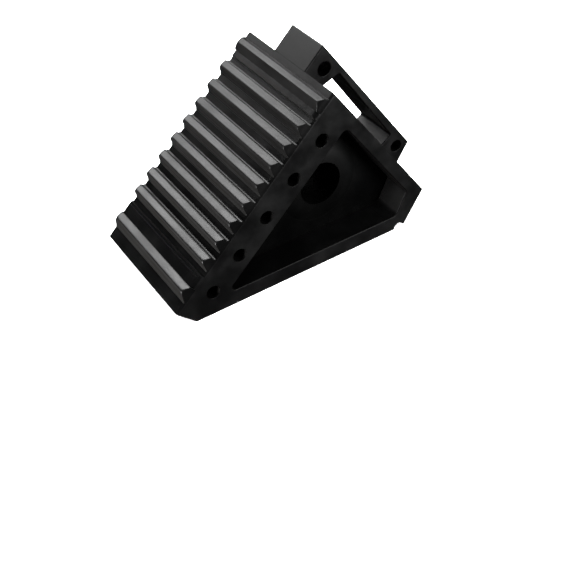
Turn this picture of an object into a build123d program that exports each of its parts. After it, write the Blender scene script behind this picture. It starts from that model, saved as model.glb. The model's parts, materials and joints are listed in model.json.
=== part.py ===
from build123d import *
import os

# Wheel chock of moulded rubber, in millimetres.
# X runs from the toe to the heel, Y across the width, Z up from the ground.
# The origin is on the ground, under the middle of the overall length and width.

# ---------------------------------------------------------------- driving dimensions
width = 101.6
toe_height = 13.9            # height of the toe's upper edge
toe_setback = 14.0           # the toe face leans forward by this much
tread_angle = 42.9           # slope of the floor between the ribs
tread_length = 174.0         # toe edge to apex; distances along it start at the toe edge
back_angle = 54.9            # slope of the back face, downwards
back_length = 130.8          # apex to heel edge
heel_angle = 55.7            # slope of the heel face
heel_lip_height = 1.3        # the heel's lower edge is this much above the ground
groove_height = 4.1          # cross groove in front of the heel
groove_width = 8.5
groove_lip = 3.2

handle_depth = 20.2          # how far the handle stands out from the back face
handle_width = 36.0
top_lug_root = 20.3          # finger window's upper side, down the back face from the apex
top_lug_tip = 24.3           # the same, where it meets the grip
window_end = 103.3           # finger window's lower side
window_top_depth = 15.9      # the grip is a little thinner at its upper end
window_end_depth = 14.0
window_round = 1.5

tread_wall_thickness = 27.5
back_wall_thickness = 9.4
base_wall_thickness = 12.0
heel_wall_thickness = 7.0    # at the pocket's lowest corner, measured along the ground
heel_wall_angle = 64.0
pocket_depth = 22.0

side_hole_diameter = 10.0
side_hole_pitch = 30.4
side_hole_count = 5
first_side_hole = 24.0
side_hole_below_tread = 16.0
upper_handle_hole_diameter = 10.4
lower_handle_hole_diameter = 9.2

web_hole_diameter = 32.4
web_hole_along = 119.4
web_hole_below_tread = 59.6
boss_diameter = 62.0         # low, soft ring round that hole
boss_top_diameter = 37.0
boss_height = 2.5

rib_count = 8                # equal ribs, between the toe rib and the top rib
rib_pitch = 14.95
first_rib = 39.4             # crest of the first equal rib
rib_height = 6.4
rib_shoulder = 3.3           # height at the low end of a rib's face
rib_flank = 4.2              # run of the steep flank, on the toe side
rib_face = 5.0               # run of the crowned face
rib_drop = 1.4               # run of the drop behind the face
rib_crown = 0.4              # how much the face bulges
rib_crest_round = 0.7
rib_end_round = 5.6
toe_rib_crest = 14.6
toe_rib_flank = 6.0
toe_land_end = 28.8
toe_land_drop = 3.2
step_start = 153.6
step_height = 2.0
step_end = 158.5
top_rib_crest = 163.8
top_rib_height = 5.4
top_rib_face = 3.8

edge_round = 0.8
hole_edge_round = 0.3
tread_edge_round = 2.0
toe_round = 1.2

# ---------------------------------------------------------------- side view construction
ground_direction = Vector(1, 0, 0)
tread_direction = ground_direction.rotate(Axis.Y, -tread_angle)
tread_normal = tread_direction.rotate(Axis.Y, -90)
back_direction = ground_direction.rotate(Axis.Y, back_angle)
back_normal = back_direction.rotate(Axis.Y, -90)
heel_direction = ground_direction.rotate(Axis.Y, -heel_angle)
heel_wall_direction = ground_direction.rotate(Axis.Y, -heel_wall_angle)

# The handle's lower end is flush with the heel face, and its outer corner is the
# rearmost point, so the overall length follows from the chain toe, apex, heel, handle.
handle_end_run = handle_depth / heel_direction.dot(back_normal)
toe_to_apex = tread_direction * tread_length
heel_to_handle = heel_direction * handle_end_run
overall_length = (toe_to_apex + back_direction * back_length + heel_to_handle).X

toe_edge = Vector(-overall_length / 2, 0, toe_height)
toe_foot = Vector(toe_edge.X + toe_setback, 0, 0)
apex = toe_edge + toe_to_apex
heel_edge = apex + back_direction * back_length
heel_lip = heel_edge - heel_direction * ((heel_edge.Z - heel_lip_height) / heel_direction.Z)
groove_front = Vector(heel_lip.X - groove_width, 0, 0)
groove_crown = Vector(groove_front.X + 2.3, 0, groove_height - 0.2)
groove_back = Vector(heel_lip.X - groove_lip, 0, groove_height)


def on_tread(along, out):
    """Point at a distance along the tread from the toe edge, and out from its floor."""
    return toe_edge + tread_direction * along + tread_normal * out


def on_back(along, out):
    """Point at a distance down the back face from the apex, and out from that face."""
    return apex + back_direction * along + back_normal * out


def meet(start_a, direction_a, start_b, direction_b):
    """Point of the side view where two lines cross."""
    gap = start_b - start_a
    turn = direction_a.X * direction_b.Z - direction_a.Z * direction_b.X
    along = (gap.X * direction_b.Z - gap.Z * direction_b.X) / turn
    return start_a + direction_a * along


def side_view(*points):
    """Side view coordinates of points in space."""
    return [(point.X, point.Z) for point in points]


def corner(point):
    """The corner of the sketch in hand that is nearest to a point of the side view."""
    return vertices().sort_by_distance((point.X, point.Z, 0))[0]


tread_plane = Plane(origin=toe_edge, x_dir=tread_direction, z_dir=(0, -1, 0))
tread_end_plane = Plane(origin=toe_edge, x_dir=(0, 1, 0), z_dir=tread_direction)
back_plane = Plane(origin=apex, x_dir=back_direction, z_dir=(0, -1, 0))

side_holes = [
    on_tread(first_side_hole + index * side_hole_pitch, -side_hole_below_tread)
    for index in range(side_hole_count)
]
web_centre = on_tread(web_hole_along, -web_hole_below_tread)

# ---------------------------------------------------------------- side pocket
under_tread = on_tread(0, -tread_wall_thickness)
inside_back = on_back(0, -back_wall_thickness)
pocket_foot = Vector(heel_lip.X - heel_wall_thickness, 0, base_wall_thickness)
pocket_toe = meet(under_tread, tread_direction, pocket_foot, ground_direction)
pocket_top = meet(under_tread, tread_direction, inside_back, back_direction)
pocket_heel = meet(inside_back, back_direction, pocket_foot, heel_wall_direction)

with BuildSketch(Plane.XZ) as pocket:
    with BuildLine():
        Polyline(*side_view(pocket_toe, pocket_top, pocket_heel, pocket_foot), close=True)
    make_face()
    fillet(corner(pocket_toe), 3.0)
    fillet(corner(pocket_top), 4.0)
    fillet(corner(pocket_heel), 2.5)
    fillet(corner(pocket_foot), 5.0)

# ---------------------------------------------------------------- walls of the wedge
# One blank for all the walls, cut afterwards into the named regions, so that holes and
# rounded edges run on from one region to the next.
outline = [groove_front, toe_foot, toe_edge, apex, heel_edge, heel_lip, groove_back]

with BuildPart() as walls:
    with BuildSketch(Plane.XZ):
        with BuildLine():
            Polyline(*side_view(*outline))
            ThreePointArc(*side_view(groove_back, groove_crown, groove_front))
        make_face()
        fillet(corner(toe_foot), toe_round)
    extrude(amount=width / 2, both=True)
    tread_face = walls.faces().sort_by(Axis(toe_edge, tread_normal))[-1]
    fillet(tread_face.edges().filter_by(Plane.XZ), tread_edge_round)
    with BuildSketch(Plane.XZ):
        add(pocket.sketch)
        with Locations(*side_view(*side_holes)):
            Circle(side_hole_diameter / 2)
    extrude(amount=width, both=True, mode=Mode.SUBTRACT)
    for side in (0, -1):
        side_face = walls.faces().filter_by(Axis.Y).sort_by(Axis.Y)[side]
        pocket_rim = side_face.inner_wires().sort_by(SortBy.LENGTH)[-1]
        fillet(pocket_rim.edges(), edge_round)
        side_face = walls.faces().filter_by(Axis.Y).sort_by(Axis.Y)[side]
        hole_rims = side_face.inner_wires().sort_by(SortBy.LENGTH)[:-1]
        fillet(hole_rims.edges(), hole_edge_round)

# ---------------------------------------------------------------- handle on the back face
handle_corner = meet(apex, tread_direction, on_back(0, handle_depth), back_direction)
handle_end = heel_edge + heel_to_handle
window_top = on_back(top_lug_tip, window_top_depth)
window_foot = on_back(window_end, window_end_depth)
window_outline = [on_back(top_lug_root, 0), window_top, window_foot, on_back(window_end, 0)]
upper_handle_hole = on_back(11.5, 10.5)
lower_handle_hole = on_back(115.6, 11.4)

with BuildPart() as handle:
    with BuildSketch(Plane.XZ):
        with BuildLine():
            Polyline(*side_view(apex, handle_corner, handle_end, heel_edge), close=True)
        make_face()
        fillet(corner(handle_corner), edge_round)
        fillet(corner(handle_end), edge_round)
    extrude(amount=handle_width / 2, both=True)
    with BuildSketch(Plane.XZ):
        with BuildLine():
            Polyline(*side_view(*window_outline), close=True)
        make_face()
        fillet(corner(window_top), window_round)
        fillet(corner(window_foot), window_round)
        with Locations(*side_view(upper_handle_hole)):
            Circle(upper_handle_hole_diameter / 2)
        with Locations(*side_view(lower_handle_hole)):
            Circle(lower_handle_hole_diameter / 2)
    extrude(amount=handle_width, both=True, mode=Mode.SUBTRACT)
    for side in (0, -1):
        side_face = handle.faces().filter_by(Axis.Y).sort_by(Axis.Y)[side]
        rim = side_face.outer_wire().edges().sort_by(Axis(apex, back_normal))[2:]
        fillet(rim, edge_round)
        side_face = handle.faces().filter_by(Axis.Y).sort_by(Axis.Y)[side]
        fillet(side_face.inner_wires().edges(), hole_edge_round)


# ---------------------------------------------------------------- regions of the mouldings
def region(whole, label, *corners):
    """The part of a moulding that lies inside a polygon of the side view, as a node."""
    with BuildPart() as piece:
        add(whole.part)
        with BuildSketch(Plane.XZ):
            with BuildLine():
                Polyline(*side_view(*corners), close=True)
            make_face()
        extrude(amount=width, both=True, mode=Mode.INTERSECT)
    piece.part.label = label
    return piece.part


# The cuts start inside the pocket, near its corners, and leave it through the walls.
reach = 60.0
toe_cut = pocket_toe + tread_direction * 14 - tread_normal * 3
top_cut = pocket_top - tread_direction * 8 - tread_normal * 8
heel_cut = pocket_heel - back_direction * 6 - back_normal * 6
foot_cut = pocket_foot + Vector(-9, 0, 6)
outwards = tread_normal * reach
rearwards = back_normal * reach
downwards = Vector(0, 0, -reach)
above_toe = on_tread(-reach, reach)
above_apex = apex + outwards + rearwards
below_toe = toe_foot + Vector(-reach, 0, -reach)
below_heel = heel_lip + Vector(reach, 0, -reach)

toe_corners = (toe_cut, toe_cut + outwards, above_toe, below_toe, toe_cut + downwards)
tread_corners = (toe_cut, toe_cut + outwards, top_cut + outwards, top_cut)
apex_corners = (top_cut, top_cut + outwards, above_apex, top_cut + rearwards)
back_corners = (top_cut, top_cut + rearwards, heel_cut + rearwards, heel_cut)
heel_corners = (heel_cut, heel_cut + rearwards, below_heel, foot_cut + downwards, foot_cut)
base_corners = (foot_cut, foot_cut + downwards, toe_cut + downwards, toe_cut)
wall_nodes = [
    region(walls, "toe_block", *toe_corners),
    region(walls, "tread_wall", *tread_corners),
    region(walls, "apex_block", *apex_corners),
    region(walls, "back_wall", *back_corners),
    region(walls, "heel_block", *heel_corners),
    region(walls, "base_wall", *base_corners),
]

# The grip is the plain bar; the rounded corners of the window stay with the lugs.
grip_start = top_lug_tip + 2 * window_round
grip_end = window_end - 2 * window_round
lug_limit = 2 * back_length
top_lug_corners = [on_back(-reach, 0), on_back(-reach, reach)]
top_lug_corners += [on_back(grip_start, reach), on_back(grip_start, 0)]
grip_corners = [on_back(grip_start, 0), on_back(grip_start, reach)]
grip_corners += [on_back(grip_end, reach), on_back(grip_end, 0)]
bottom_lug_corners = [on_back(grip_end, 0), on_back(grip_end, reach)]
bottom_lug_corners += [on_back(lug_limit, reach), on_back(lug_limit, 0)]
handle_nodes = [
    region(handle, "handle_top_lug", *top_lug_corners),
    region(handle, "handle_grip", *grip_corners),
    region(handle, "handle_bottom_lug", *bottom_lug_corners),
]

# ---------------------------------------------------------------- web between the pockets
web_thickness = width - 2 * pocket_depth

with BuildPart() as centre_web:
    extrude(pocket.sketch, amount=web_thickness / 2, both=True)
    with BuildSketch(Plane.XZ):
        with Locations(*side_view(web_centre)):
            Circle(web_hole_diameter / 2)
    extrude(amount=width, both=True, mode=Mode.SUBTRACT)
centre_web.part.label = "centre_web"


def web_boss(label, side):
    """Raised ring round the large hole, on the face of the web towards +Y or -Y."""
    foot = web_centre + Vector(0, side * web_thickness / 2, 0)
    hole_radius = web_hole_diameter / 2
    foot_point = (boss_diameter / 2, 0)
    top_point = (boss_top_diameter / 2, boss_height)
    with BuildPart() as boss:
        with BuildSketch(Plane(origin=foot, x_dir=(1, 0, 0), z_dir=(0, 0, side))):
            with BuildLine():
                Polyline(foot_point, (hole_radius, 0), (hole_radius, boss_height), top_point)
                Spline(top_point, foot_point, tangents=((1, 0), (1, -0.3)))
            make_face()
        revolve(axis=Axis(foot, (0, 1, 0)))
    boss.part.label = label
    return boss.part


web_nodes = [centre_web.part, web_boss("web_boss_left", 1), web_boss("web_boss_right", -1)]

# ---------------------------------------------------------------- ribs and lands
# Seen along the tread, every strip on it ends in the same large rounding.
with BuildSketch(tread_end_plane) as tread_end_view:
    Rectangle(width - 2 * tread_edge_round, 2 * rib_height)
    fillet(tread_end_view.vertices().group_by(Axis.Y)[-1], rib_end_round)


def tread_strip(label, *profile, crown=0.0):
    """Strip across the tread, from its section: distance along the tread and height.

    With a crown, the last side of the section bulges by that much, and its start, the
    crest, is rounded.
    """
    crest, shoulder = profile[-1], profile[0]
    middle = ((crest[0] + shoulder[0]) / 2, (crest[1] + shoulder[1]) / 2 + crown)
    with BuildPart() as strip:
        with BuildSketch(tread_plane):
            with BuildLine():
                Polyline(*profile)
                if crown:
                    ThreePointArc(crest, middle, shoulder)
                else:
                    Line(crest, shoulder)
            make_face()
            if crown:
                fillet(vertices().sort_by_distance((*crest, 0))[0], rib_crest_round)
        extrude(amount=width / 2, both=True)
        extrude(tread_end_view.sketch, amount=2 * tread_length, both=True, mode=Mode.INTERSECT)
    strip.part.label = label
    return strip.part


def rib(label, crest):
    """One of the equal ribs, from the distance of its crest along the tread."""
    shoulder = crest + rib_face
    return tread_strip(
        label,
        (shoulder, rib_shoulder),
        (shoulder + rib_drop, 0),
        (crest - rib_flank, 0),
        (crest, rib_height),
        crown=rib_crown,
    )


toe_shoulder = toe_rib_crest + rib_face
top_shoulder = top_rib_crest + top_rib_face
tread_nodes = [
    tread_strip(
        "rib_01",
        (toe_shoulder, rib_shoulder),
        (toe_shoulder, 0),
        (toe_rib_crest - toe_rib_flank, 0),
        (toe_rib_crest, rib_height),
        crown=rib_crown,
    ),
    tread_strip(
        "toe_land",
        (toe_shoulder, 0),
        (toe_shoulder, rib_shoulder),
        (toe_land_end, rib_shoulder),
        (toe_land_end + toe_land_drop, 0),
    ),
    tread_strip(
        "top_step",
        (step_start, 0),
        (step_start + 0.7, step_height),
        (step_end, step_height),
        (step_end, 0),
    ),
    tread_strip(
        "rib_10",
        (top_shoulder, 0.55 * top_rib_height),
        (top_shoulder + rib_drop, 0),
        (step_end, 0),
        (step_end, step_height),
        (top_rib_crest, top_rib_height),
        crown=rib_crown,
    ),
]
for index in range(rib_count):
    tread_nodes.append(rib(f"rib_{index + 2:02d}", first_rib + index * rib_pitch))

# ---------------------------------------------------------------- export
os.makedirs("parts", exist_ok=True)
for piece in wall_nodes + handle_nodes + web_nodes + tread_nodes:
    export_step(piece, f"parts/{piece.label}.step")
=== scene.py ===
import json
import math

import bmesh
import bpy
from mathutils import Matrix, Vector, noise


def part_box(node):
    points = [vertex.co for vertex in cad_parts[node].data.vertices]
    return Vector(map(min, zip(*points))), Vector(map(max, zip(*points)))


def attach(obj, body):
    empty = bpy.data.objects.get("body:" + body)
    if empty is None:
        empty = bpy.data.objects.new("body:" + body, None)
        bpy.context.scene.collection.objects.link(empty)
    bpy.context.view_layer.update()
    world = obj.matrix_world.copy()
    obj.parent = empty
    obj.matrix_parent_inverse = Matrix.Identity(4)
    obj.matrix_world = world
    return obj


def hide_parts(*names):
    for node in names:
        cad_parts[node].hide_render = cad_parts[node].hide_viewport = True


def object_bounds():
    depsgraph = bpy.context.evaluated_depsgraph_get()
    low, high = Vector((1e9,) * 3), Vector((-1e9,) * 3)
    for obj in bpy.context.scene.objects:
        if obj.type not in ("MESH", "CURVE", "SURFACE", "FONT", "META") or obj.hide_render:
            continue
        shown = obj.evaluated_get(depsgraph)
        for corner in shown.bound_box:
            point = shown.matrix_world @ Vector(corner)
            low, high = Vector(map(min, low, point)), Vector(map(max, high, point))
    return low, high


# The chock's walls, blocks, web and handle keep their CAD mesh. Its ribs, toe land and top
# step are drawn again as strips, with rolled noses and rounded ends. Lengths are in metres,
# except in the section on strips, which works in millimetres and turns them with MM.
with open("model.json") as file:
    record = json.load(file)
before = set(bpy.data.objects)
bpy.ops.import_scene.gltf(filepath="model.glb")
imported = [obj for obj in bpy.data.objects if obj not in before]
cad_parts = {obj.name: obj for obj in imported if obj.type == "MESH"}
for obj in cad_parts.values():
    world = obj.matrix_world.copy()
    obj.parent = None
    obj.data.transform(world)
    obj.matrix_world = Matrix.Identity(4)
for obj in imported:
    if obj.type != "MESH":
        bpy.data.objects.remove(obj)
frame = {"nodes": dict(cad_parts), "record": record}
cad_low, cad_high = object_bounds()
scene = bpy.context.scene
middle = (cad_low + cad_high) / 2
MM = 0.001


# ---------------------------------------------------------------- camera
# It looks down on the tread and on the side that faces -Y, and is rolled a little.
CAMERA_PLACE = (-0.2905, -0.5050, 0.4688)
AZIMUTH = math.radians(-30.6)
ELEVATION = math.radians(42.10)
ROLL = math.radians(-3.65)


def place_camera():
    data = bpy.data.cameras.new("camera")
    data.lens = 63.88
    data.sensor_width = 36.0
    camera = bpy.data.objects.new("camera", data)
    camera.matrix_world = (
        Matrix.Translation(CAMERA_PLACE)
        @ Matrix.Rotation(AZIMUTH, 4, "Z")
        @ Matrix.Rotation(math.pi / 2 - ELEVATION, 4, "X")
        @ Matrix.Rotation(ROLL, 4, "Z")
    )
    scene.collection.objects.link(camera)
    scene.camera = camera


place_camera()


# ---------------------------------------------------------------- node helpers
class Graph:
    """A small helper for writing a material's node tree."""

    def __init__(self, name):
        self.material = bpy.data.materials.new(name)
        self.material.use_nodes = True
        self.tree = self.material.node_tree
        self.shader = self.tree.nodes["Principled BSDF"]
        geometry = self.add("ShaderNodeNewGeometry")
        self.place = geometry.outputs["Position"]
        self.normal = geometry.outputs["Normal"]

    def add(self, kind, **settings):
        node = self.tree.nodes.new(kind)
        for name, value in settings.items():
            setattr(node, name, value)
        return node

    def feed(self, socket, value):
        """Links a socket to an output, or gives it a plain value."""
        if isinstance(value, bpy.types.NodeSocket):
            self.tree.links.new(value, socket)
        else:
            socket.default_value = value

    def parts(self, vector):
        """The X, Y and Z of a vector, as outputs that are picked by their letter."""
        node = self.add("ShaderNodeSeparateXYZ")
        self.feed(node.inputs["Vector"], vector)
        return node.outputs

    def noise(self, scale, detail=3.0, rough=0.5, stretch=(1, 1, 1)):
        """Noise over the shared frame: scale is in features per metre."""
        mapping = self.add("ShaderNodeMapping")
        mapping.inputs["Scale"].default_value = stretch
        self.feed(mapping.inputs["Vector"], self.place)
        node = self.add("ShaderNodeTexNoise")
        self.feed(node.inputs["Vector"], mapping.outputs["Vector"])
        self.feed(node.inputs["Scale"], scale)
        self.feed(node.inputs["Detail"], detail)
        self.feed(node.inputs["Roughness"], rough)
        return node.outputs["Fac"]

    def ramp(self, value, low, high, out_low=0.0, out_high=1.0):
        """Maps value from low..high to out_low..out_high, smoothly and held at both ends."""
        node = self.add("ShaderNodeMapRange", interpolation_type="SMOOTHSTEP")
        for name, number in (
            ("Value", value),
            ("From Min", low),
            ("From Max", high),
            ("To Min", out_low),
            ("To Max", out_high),
        ):
            self.feed(node.inputs[name], number)
        return node.outputs["Result"]

    def math(self, operation, first, second=0.0):
        node = self.add("ShaderNodeMath", operation=operation)
        self.feed(node.inputs[0], first)
        self.feed(node.inputs[1], second)
        return node.outputs["Value"]

    def times(self, first, second):
        return self.math("MULTIPLY", first, second)

    def mix(self, factor, first, second):
        node = self.add("ShaderNodeMix", data_type="RGBA")
        self.feed(node.inputs["Factor"], factor)
        self.feed(node.inputs["A"], first)
        self.feed(node.inputs["B"], second)
        return node.outputs["Result"]

    def bump(self, height, strength, distance, normal=None):
        node = self.add("ShaderNodeBump")
        self.feed(node.inputs["Strength"], strength)
        self.feed(node.inputs["Distance"], distance)
        self.feed(node.inputs["Height"], height)
        if normal is not None:
            self.feed(node.inputs["Normal"], normal)
        return node.outputs["Normal"]


# ---------------------------------------------------------------- rubber
def tone(level, blue=1.0):
    return (level, level, level * blue, 1)


PALE = tone(0.045)
# The colour of a painted floor reflection on the flanks that face the ground.
FLANK_PAINTED_LIGHT = (0.040, 0.039, 0.038, 1)
EDGE_REACH = 0.9 * MM


def edge_wear_and_highlight(graph, clouds, wear_and_highlight_peak):
    """Edges, where a bevel's normal leaves the face's own, in patches: wear and painted
    highlight.
    """
    bevel = graph.add("ShaderNodeBevel", samples=4)
    bevel.inputs["Radius"].default_value = EDGE_REACH
    facing = graph.add("ShaderNodeVectorMath", operation="DOT_PRODUCT")
    graph.feed(facing.inputs[0], bevel.outputs["Normal"])
    graph.feed(facing.inputs[1], graph.normal)
    edges = graph.ramp(facing.outputs["Value"], 0.985, 0.90)
    return graph.times(edges, graph.ramp(clouds, 0.35, 0.65, 0.25, wear_and_highlight_peak))


def painted_flank_light(graph):
    """Painted floor reflection on the flanks that face the ground, most of all at the toe."""
    flanks = graph.ramp(graph.parts(graph.normal)["X"], -0.70, -0.92)
    return graph.times(flanks, graph.ramp(graph.parts(graph.place)["X"], -0.10, 0.0, 1.0, 0.3))


def rubber_color(graph, shade, clouds, wear_and_highlight):
    dust = graph.noise(420, detail=5, rough=0.75)
    grey = tone(shade * 1.8 + 0.001)
    color = graph.mix(graph.ramp(clouds, 0.35, 0.75), tone(shade, blue=1.03), grey)
    color = graph.mix(graph.times(graph.ramp(dust, 0.62, 0.8), 0.35), color, PALE)
    # Edges paler in patches: partly real wear, partly a painted highlight along the edges.
    color = graph.mix(graph.times(wear_and_highlight, 0.15), color, PALE)
    # Flanks that face the ground, most of all at the toe, get a painted floor reflection.
    return graph.mix(graph.times(painted_flank_light(graph), 0.9), color, FLANK_PAINTED_LIGHT)


def rubber_roughness(graph, roughness, patches, clouds, wear_and_highlight):
    smears = graph.noise(90, detail=3, stretch=(1.0, 0.25, 1.0))
    level = graph.ramp(clouds, 0.3, 0.7, roughness - patches, roughness + patches)
    level = graph.math("ADD", level, graph.ramp(smears, 0.4, 0.7, -0.02, 0.05))
    return graph.math("ADD", level, graph.times(wear_and_highlight, 0.20))


def rubber_sheen(graph, axis, span, rise, side_sheen, rim_dullness, wear_and_highlight):
    """The specular level: it changes along axis and is lost on rubbed edges and rims."""
    sideways = graph.math("ABSOLUTE", graph.parts(graph.normal)["Y"])
    sheen = graph.ramp(graph.parts(graph.place)[axis], *span, *rise)
    if side_sheen is not None:
        lift = graph.math("SUBTRACT", side_sheen, sheen)
        lift = graph.times(lift, graph.ramp(sideways, 0.5, 0.9))
        sheen = graph.math("ADD", sheen, lift)
    # The small rounds along the side faces are turned half way, and are duller than the rest.
    rim = graph.times(graph.ramp(sideways, 0.1, 0.35), graph.ramp(sideways, 0.99, 0.9))
    dulled = graph.math("MAXIMUM", wear_and_highlight, graph.times(rim, rim_dullness))
    return graph.times(sheen, graph.math("SUBTRACT", 1.0, graph.times(dulled, 0.8)))


def rubber_relief(graph, clouds):
    """Soft swells, streaks across the tread, pebbles and a fine grain, one on another."""
    streaks = graph.noise(700, detail=3, stretch=(1.0, 0.05, 1.0))
    normal = graph.bump(clouds, 0.25, 0.6 * MM)
    normal = graph.bump(streaks, 0.10, 0.10 * MM, normal)
    normal = graph.bump(graph.noise(900, detail=3), 0.10, 0.12 * MM, normal)
    return graph.bump(graph.noise(2600, detail=2), 0.06, 0.05 * MM, normal)


def rubber(
    name,
    shade,
    roughness,
    patches,
    sheen_rise,
    sheen_axis="X",
    sheen_span=(-0.10, 0.02),
    side_sheen=0.5,
    rim_dullness=1.0,
    wear_and_highlight_peak=1.0,
):
    """Moulded black rubber: fine grain, cloudy gloss, faint dust, rubbed edges and painted
    light.

    sheen_rise gives the specular level at the two ends of sheen_span, in metres along
    sheen_axis, and side_sheen gives it on the side faces.
    """
    graph = Graph(name)
    inputs = graph.shader.inputs
    clouds = graph.noise(38, detail=4, rough=0.6)
    wear_and_highlight = edge_wear_and_highlight(graph, clouds, wear_and_highlight_peak)
    sheen = rubber_sheen(
        graph, sheen_axis, sheen_span, sheen_rise, side_sheen, rim_dullness, wear_and_highlight
    )
    graph.feed(inputs["Base Color"], rubber_color(graph, shade, clouds, wear_and_highlight))
    graph.feed(inputs["Roughness"], rubber_roughness(graph, roughness, patches, clouds, wear_and_highlight))
    graph.feed(inputs["Specular IOR Level"], sheen)
    graph.feed(inputs["Normal"], rubber_relief(graph, clouds))
    return graph.material


moulded = rubber(
    "moulded_rubber", shade=0.0035, roughness=0.40, patches=0.08, sheen_rise=(0.05, 0.64)
)
ribbed = rubber(
    "rib_rubber",
    shade=0.005,
    roughness=0.37,
    patches=0.05,
    sheen_rise=(0.54, 0.31),
    side_sheen=0.1,
    rim_dullness=0.4,
)
# The web in the pocket gets a darker colour than the other rubber as painted shade, and its
# sheen fades towards the bottom.
painted_shade_web = rubber(
    "painted_shade_rubber",
    shade=0.002,
    roughness=0.62,
    patches=0.06,
    sheen_rise=(0.0, 0.36),
    sheen_axis="Z",
    sheen_span=(0.02, 0.10),
    side_sheen=None,
    wear_and_highlight_peak=0.3,
)

for name, node in frame["nodes"].items():
    node.data.materials.clear()
    node.data.materials.append(painted_shade_web if "web" in name else moulded)


# ---------------------------------------------------------------- tread frame
# The row of side holes runs along the tread, under its floor.
HOLE_DEPTH = 16.0 * MM    # from the tread's floor down to the middle of each hole
FIRST_HOLE = 24.0 * MM    # from the toe edge, along the tread

mounts = {mount["name"]: Vector(mount["pos_m"]) for mount in frame["record"]["mounts"]}
first_hole, last_hole = mounts["side_hole_1"], mounts["side_hole_5"]
along = (last_hole - first_hole).normalized()
out = Vector((-along.z, 0, along.x))
toe_edge = first_hole - along * FIRST_HOLE + out * HOLE_DEPTH
half_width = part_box("toe_block")[1].y


def tread_point(distance, height, across):
    """A point over the tread: along it, out from its floor and across it, in metres."""
    place = toe_edge + along * distance + out * height
    return Vector((place.x, across, place.z))


def middle_along(node):
    """Where the middle of a node's box falls, measured along the tread."""
    low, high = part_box(node)
    return ((low + high) / 2 - toe_edge).dot(along)


# ---------------------------------------------------------------- outlines
def rounded(points, radii, steps=5):
    """The open outline through points, with an arc of each radius at each inner point."""
    line = [Vector(points[0])]
    for before, here, after, radius in zip(points, points[1:], points[2:], radii):
        here = Vector(here)
        back = (Vector(before) - here).normalized()
        ahead = (Vector(after) - here).normalized()
        half = back.angle(ahead) / 2
        reach = radius / math.tan(half)
        centre = here + (back + ahead).normalized() * (radius / math.sin(half))
        start, end = here + back * reach - centre, here + ahead * reach - centre
        turn = start.angle_signed(end)
        for step in range(steps + 1):
            spin = Matrix.Rotation(-turn * step / steps, 2)
            line.append(centre + spin @ start)
    line.append(Vector(points[-1]))
    return line


def divided(line, shortest, longest):
    """The same outline, with its long runs divided and its tiny steps left out."""
    result = [line[0]]
    for start, end in zip(line, line[1:]):
        if (end - result[-1]).length < shortest:
            continue
        count = max(1, math.ceil((end - start).length / longest))
        result += [start.lerp(end, step / count) for step in range(1, count + 1)]
    return result


# ---------------------------------------------------------------- strips
# All of these are in millimetres, apart from the counts and shares.
SIDE_GAP = 0.1          # from the side face to a strip's end
BURIED = -2.4           # every strip reaches this far down into the tread
FOOT_BAND = 0.2         # the points this near its buried foot keep their height
END_ROUND = 4.0         # the round at a strip's ends, seen along the tread
END_FOOT = -1.9         # the height that the round comes down to
PLAN_ROUND = 1.0        # the round of the flank's end, seen from above
CEILING_BLEND = 0.7     # how softly the outline meets that round
CEILING_SLOPE = 0.01    # keeps stacked points apart where they meet it
WAVE_LENGTH = 9.0
WAVE_DEPTH = 0.10
RIPPLE_DEPTH = 0.03
RIPPLES_IN_WAVE = 4.0
WAVE_FADE = 2.0         # the waves die away over this height above the tread's floor
ALONG_SHARE = 0.5       # how much of a wave also shows along the tread
SHORTEST_STEP = 0.02
LONGEST_STEP = 0.8
STATIONS = 140


def soft_min(first, second, blend):
    gap = max(blend - abs(first - second), 0) / blend
    return min(first, second) - gap * gap * blend / 4


def end_drop(inside, radius):
    """How far a quarter round has fallen at a distance inside its end."""
    return radius - math.sqrt(max(radius**2 - max(radius - inside, 0) ** 2, 0))


def moulding_waves(place, seed):
    """The slight unevenness of the moulding at a place: a long wave and a fine ripple."""
    place = place / WAVE_LENGTH
    wave = noise.noise(place + Vector((seed, 0, 0))) * WAVE_DEPTH
    ripple = noise.noise(place * RIPPLES_IN_WAVE + Vector((0, seed, 0))) * RIPPLE_DEPTH
    return wave, ripple


def strip_rows(base, corners, seed):
    """A strip's points, one row of them for each station across the tread."""
    toe_side, far_side = corners[0][0], corners[-1][0]
    points = [(toe_side, BURIED), *(corner[:2] for corner in corners), (far_side, BURIED)]
    radii = [corner[2] for corner in corners]
    section = divided(rounded(points, radii), SHORTEST_STEP, LONGEST_STEP)
    crest = max(point.y for point in section)
    end = half_width / MM - SIDE_GAP
    rows = []
    for station in range(STATIONS + 1):
        # Stations crowd towards the ends, where the shape turns.
        across = -end * math.cos(math.pi * station / STATIONS)
        inside = end - abs(across)
        ceiling = crest - end_drop(inside, END_ROUND) * (crest - END_FOOT) / END_ROUND
        squeeze = 1 - end_drop(inside, PLAN_ROUND) / (far_side - toe_side)
        row = []
        for point in section:
            wave, ripple = moulding_waves(Vector((base + point.x, across, point.y)), seed)
            height = point.y
            if height > BURIED + FOOT_BAND:
                height = soft_min(height, ceiling + CEILING_SLOPE * height, CEILING_BLEND)
                height += (wave + ripple) * min(max(height, 0) / WAVE_FADE, 1)
            distance = far_side - (far_side - point.x) * squeeze + (ripple - wave) * ALONG_SHARE
            row.append(tread_point((base + distance) * MM, height * MM, across * MM))
        rows.append(row)
    return rows


def skin(name, rows):
    """A closed smooth mesh over rows of points, with a cap at each end."""
    mesh = bmesh.new()
    rows = [[mesh.verts.new(point) for point in row] for row in rows]
    for first, second in zip(rows, rows[1:]):
        for index in range(len(first)):
            after = (index + 1) % len(first)
            mesh.faces.new((first[index], first[after], second[after], second[index]))
    mesh.faces.new(rows[0])
    mesh.faces.new(rows[-1])
    bmesh.ops.recalc_face_normals(mesh, faces=mesh.faces)
    data = bpy.data.meshes.new(name)
    mesh.to_mesh(data)
    mesh.free()
    data.shade_smooth()
    return data


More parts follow.
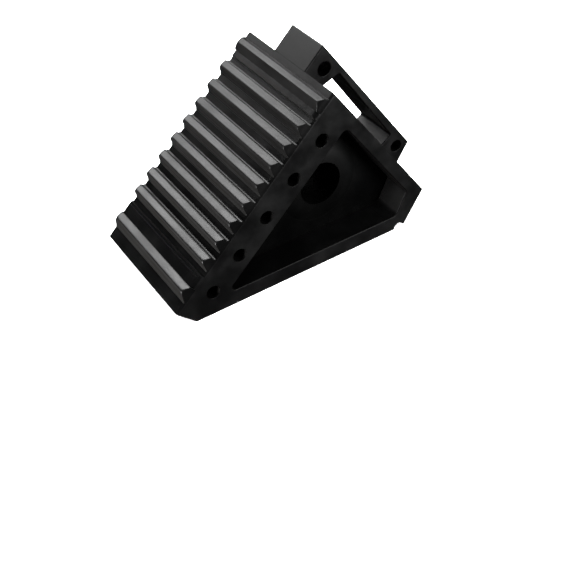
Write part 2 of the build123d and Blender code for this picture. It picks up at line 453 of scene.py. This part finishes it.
def strip(name, node, corners, seed, material=ribbed):
    """A rib or land across the tread, swept from its section, in place of a CAD node.

    Each corner of the section is a distance along the tread from the middle of the node, a
    height above the tread's floor and a radius. They go from the toe side to the handle side.
    """
    data = skin(name, strip_rows(middle_along(node) / MM, corners, seed))
    data.materials.append(material)
    piece = bpy.data.objects.new(name, data)
    scene.collection.objects.link(piece)
    piece.modifiers.new("even_normals", "WEIGHTED_NORMAL")
    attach(piece, "root")
    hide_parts(node)


for index in range(2, 10):
    strip(
        f"rib_bar_{index:02d}",
        f"rib_{index:02d}",
        corners=[
            (-5.9, 0.0, 0.01),
            (-4.9, 0.6, 0.4),
            (-2.3, 5.4, 1.3),
            (-0.8, 6.5, 1.1),
            (3.3, 3.75, 1.0),
            (3.9, 3.5, 0.25),
            (4.0, 0.4, 0.12),
            (4.9, 0.0, 0.3),
        ],
        seed=index * 3.7,
    )
strip(
    "toe_rib_bar",
    "rib_01",
    corners=[
        (-5.9, 0.0, 0.01),
        (-5.0, 0.5, 0.4),
        (-1.0, 5.3, 1.2),
        (0.7, 6.5, 1.0),
        (5.45, 3.35, 0.8),
        (5.8, 3.2, 0.2),
    ],
    seed=1.3,
)
strip(
    "toe_land_bar",
    "toe_land",
    corners=[
        (-6.6, 3.25, 0.01),
        (3.5, 3.3, 0.1),
        (3.75, 1.9, 0.2),
        (5.2, 1.8, 0.1),
        (5.5, 0.2, 0.2),
        (5.9, 0.0, 0.2),
    ],
    seed=2.9,
    material=moulded,
)
strip(
    "top_step_bar",
    "top_step",
    corners=[(-2.6, 0.0, 0.01), (-1.9, 1.9, 0.15), (2.5, 2.05, 0.35)],
    seed=33.0,
    material=moulded,
)
strip(
    "top_rib_bar",
    "rib_10",
    corners=[
        (-5.2, 0.0, 0.01),
        (-5.15, 2.0, 0.1),
        (0.2, 5.5, 0.3),
        (4.0, 2.9, 0.8),
        (5.3, 0.2, 0.25),
        (5.6, 0.0, 0.3),
    ],
    seed=41.0,
)


# ---------------------------------------------------------------- floor
FLOOR_TURNS = 64
# Each ring's radius and height.
FLOOR_RINGS = [(3.0, 0.0), (4.0, 0.02), (5.0, 0.25), (5.7, 0.8), (6.1, 1.7), (6.3, 4.0)]
FLOOR_GLOW = 0.8


def floor_mesh():
    """A sheet of rings, flat under the chock and rising far round it, so no edge shows."""
    corners = [(0, 0, 0)]
    for radius, height in FLOOR_RINGS:
        for turn in range(FLOOR_TURNS):
            angle = 2 * math.pi * turn / FLOOR_TURNS
            corners.append((radius * math.cos(angle), radius * math.sin(angle), height))
    faces = [(0, 1 + turn, 1 + (turn + 1) % FLOOR_TURNS) for turn in range(FLOOR_TURNS)]
    for ring in range(len(FLOOR_RINGS) - 1):
        inner = 1 + ring * FLOOR_TURNS
        outer = inner + FLOOR_TURNS
        for turn in range(FLOOR_TURNS):
            after = (turn + 1) % FLOOR_TURNS
            faces.append((inner + turn, outer + turn, outer + after, inner + after))
    mesh = bpy.data.meshes.new("floor")
    mesh.from_pydata(corners, [], faces)
    mesh.shade_smooth()
    return mesh


def pale_sheet():
    graph = Graph("floor_pale")
    graph.feed(graph.shader.inputs["Base Color"], tone(0.9))
    graph.feed(graph.shader.inputs["Roughness"], 0.9)
    graph.feed(graph.shader.inputs["Emission Color"], tone(1))
    graph.feed(graph.shader.inputs["Emission Strength"], FLOOR_GLOW)
    return graph.material


def plain_floor():
    """The sheet under the chock. It neither lights the rubber nor shows in its gloss."""
    mesh = floor_mesh()
    mesh.materials.append(pale_sheet())
    floor = bpy.data.objects.new("floor", mesh)
    scene.collection.objects.link(floor)
    floor.visible_diffuse = False
    floor.visible_glossy = False
    return floor


floor = plain_floor()


# ---------------------------------------------------------------- light
def softbox(name, place, size, power):
    """A soft light that is turned to the middle of the chock."""
    data = bpy.data.lights.new(name, "AREA")
    data.shape = "RECTANGLE"
    data.size, data.size_y = size
    data.energy = power
    light = bpy.data.objects.new(name, data)
    place = Vector(place)
    aim = (middle - place).to_track_quat("-Z", "Y").to_matrix().to_4x4()
    light.matrix_world = Matrix.Translation(place) @ aim
    scene.collection.objects.link(light)
    return light


def light_only(light, target):
    """Keeps a light off everything but its target."""
    receivers = bpy.data.collections.new(f"{target.name}_only")
    receivers.objects.link(target)
    light.light_linking.receiver_collection = receivers


def faint_world():
    world = bpy.data.worlds.new("studio")
    scene.world = world
    world.use_nodes = True
    backdrop = world.node_tree.nodes["Background"]
    backdrop.inputs["Color"].default_value = tone(1)
    backdrop.inputs["Strength"].default_value = 0.01


# The floor has a light of its own, so that it can be pale while the rubber stays dark.
softbox("rear_softbox", (0.15, 0.80, 0.72), (0.5, 0.5), 3.4)
softbox("top_softbox", (0.06, 0.36, 1.12), (0.4, 0.9), 12.0)
softbox("apex_softbox", (-0.12, 0.42, 0.42), (0.2, 0.2), 0.30)
softbox("side_softbox", (0.5, -1.1, 0.25), (0.6, 0.4), 10.5)
softbox("toe_softbox", (-1.0, -0.10, 0.15), (0.5, 0.25), 9.0)
light_only(softbox("floor_wash", (0.0, -0.2, 2.2), (3.0, 3.0), 260.0), floor)
faint_world()
scene.view_settings.view_transform = "Standard"
